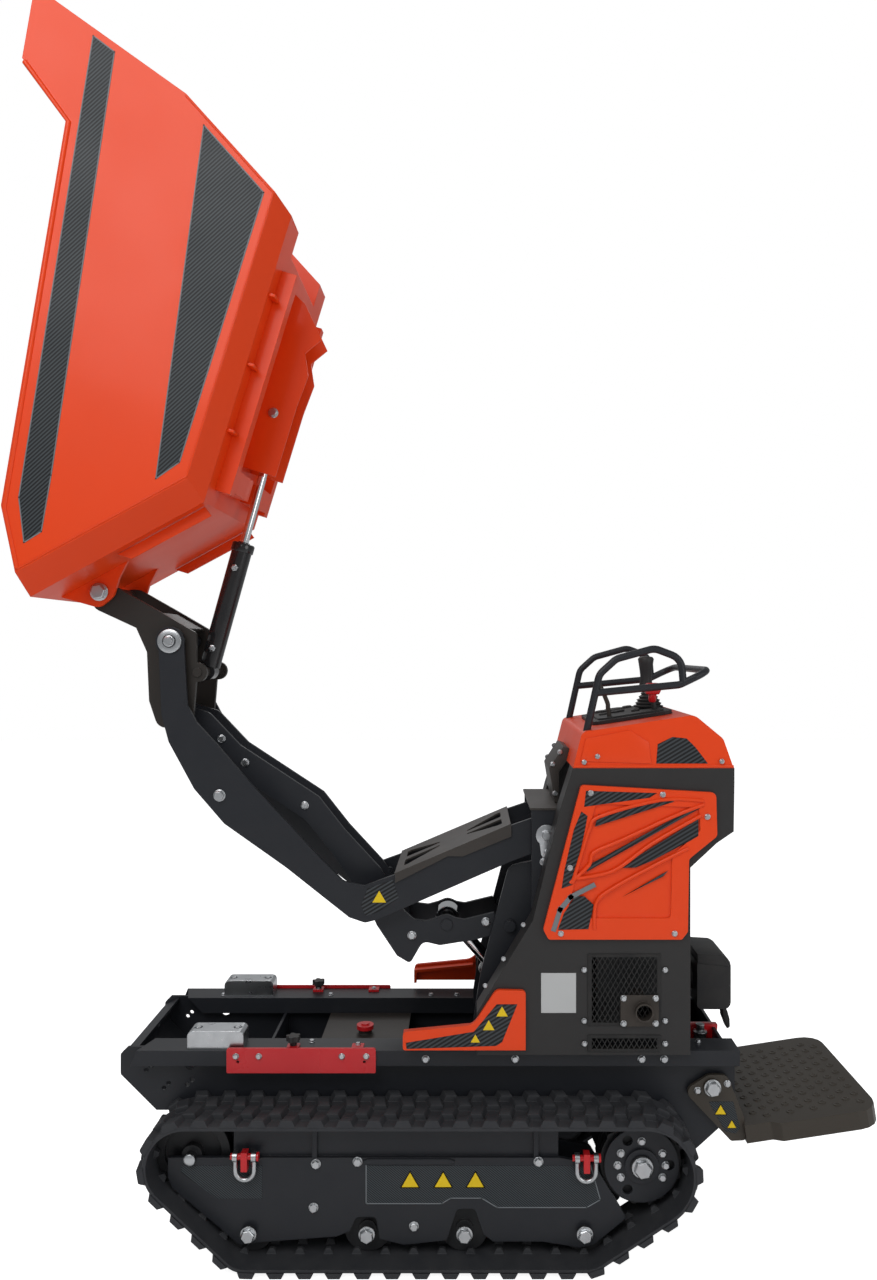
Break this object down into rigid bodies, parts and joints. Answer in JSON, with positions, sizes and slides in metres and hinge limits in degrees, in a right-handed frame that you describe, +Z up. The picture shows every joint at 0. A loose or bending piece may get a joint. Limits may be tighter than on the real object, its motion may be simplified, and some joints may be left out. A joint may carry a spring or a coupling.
{
  "type": "tracked mini dumper",
  "caption": "Small tracked dumper with a high-tip skip on a linked arm, shown raised and tipped.",
  "frame": {"origin": "middle of the model's box in x and y, on the ground under the tracks", "axes": "+X forward, +Y left, +Z up"},
  "size_m": [2.289, 0.78, 3.2707],
  "materials": {
    "track_rubber": "moulded rubber, dusty",
    "frame_black": "black powder coat, satin",
    "wheel_black": "black paint",
    "carrier_black": "black powder coat",
    "zinc": "zinc plated",
    "red_paint": "gloss red paint",
    "orange_paint": "gloss orange paint",
    "taupe_paint": "dark taupe powder coat",
    "black_plastic": "moulded plastic",
    "engine_metal": "black painted casting",
    "exhaust_steel": "bare steel",
    "barrel_black": "gloss black paint",
    "rod_chrome": "hard chrome"
  },
  "bodies": {
    "root": {"track_left": "track_rubber", "track_right": "track_rubber", "track_frames": "frame_black", "frame_covers": "frame_black", "bogie_wheels": "wheel_black", "idlers": "wheel_black", "sprockets": "wheel_black", "shackle_bows": "zinc", "shackle_pins": "red_paint", "chassis_rails": "frame_black", "belly": "frame_black", "nose_plate": "frame_black", "rest_blocks": "zinc", "lock_bars": "red_paint", "lock_knobs": "black_plastic", "oil_tank": "carrier_black", "oil_cap": "red_paint", "fenders": "orange_paint", "body_shell": "taupe_paint", "grilles": "black_plastic", "side_panels": "orange_paint", "cowl": "orange_paint", "console": "black_plastic", "handlebars": "taupe_paint", "joystick": "black_plastic", "control_levers": "black_plastic", "engine": "engine_metal", "air_cleaner": "black_plastic", "exhaust": "exhaust_steel", "tower": "frame_black", "tower_cover": "taupe_paint"},
    "arm": {"arm": "frame_black", "arm_cover": "taupe_paint"},
    "link": {"link": "frame_black"},
    "carrier": {"carrier": "carrier_black"},
    "lift_barrel": {"lift_barrel": "barrel_black"},
    "lift_rod": {"lift_rod": "rod_chrome"},
    "tip_barrel": {"tip_barrel": "barrel_black"},
    "tip_rod": {"tip_rod": "rod_chrome"},
    "skip": {"skip": "orange_paint", "skip_frame": "orange_paint"},
    "footboard": {"footboard": "carrier_black"}
  },
  "joints": [
    {"name": "lift", "type": "hinge", "parent": "root", "child": "arm", "pos_m": [-0.25528, 0, 1.079], "axis": [0, 1, 0], "range_deg": [0, 39]},
    {"name": "link_turn", "type": "hinge", "parent": "root", "child": "link", "pos_m": [-0.15828, 0, 0.817], "axis": [0, 1, 0], "range_deg": [0, 42]},
    {"name": "carrier_turn", "type": "hinge", "parent": "arm", "child": "carrier", "pos_m": [0.77972, 0, 1.607], "axis": [0, 1, 0], "range_deg": [-54, 0]},
    {"name": "lift_barrel_turn", "type": "hinge", "parent": "root", "child": "lift_barrel", "pos_m": [-0.33228, 0, 0.425], "axis": [0, 1, 0], "range_deg": [0, 7]},
    {"name": "lift_rod_slide", "type": "slide", "parent": "lift_barrel", "child": "lift_rod", "axis": [0.6708, 0, 0.7417], "range_m": [-0.125, 0]},
    {"name": "tip", "type": "hinge", "parent": "carrier", "child": "skip", "pos_m": [0.97672, 0, 1.743], "axis": [0, 1, 0], "range_deg": [-58, 0]},
    {"name": "tip_barrel_turn", "type": "hinge", "parent": "carrier", "child": "tip_barrel", "pos_m": [0.71172, 0, 1.52], "axis": [0, 1, 0], "range_deg": [-64, 0]},
    {"name": "tip_rod_slide", "type": "slide", "parent": "tip_barrel", "child": "tip_rod", "axis": [-0.2674, 0, 0.9636], "range_m": [-0.345, 0]},
    {"name": "board_fold", "type": "hinge", "parent": "root", "child": "footboard", "pos_m": [-0.69628, 0, 0.4106], "axis": [0, 1, 0], "range_deg": [0, 80]}
  ],
  "couplings": [
    {"joint": "link_turn", "follows": "lift", "ratio": 1.053},
    {"joint": "carrier_turn", "follows": "lift", "ratio": -1.368},
    {"joint": "lift_barrel_turn", "follows": "lift", "ratio": 0.168},
    {"joint": "lift_rod_slide", "follows": "lift", "m_per_rad": -0.1625},
    {"joint": "tip_barrel_turn", "follows": "tip", "ratio": 1.0598},
    {"joint": "tip_rod_slide", "follows": "tip", "m_per_rad": 0.32998}
  ]
}
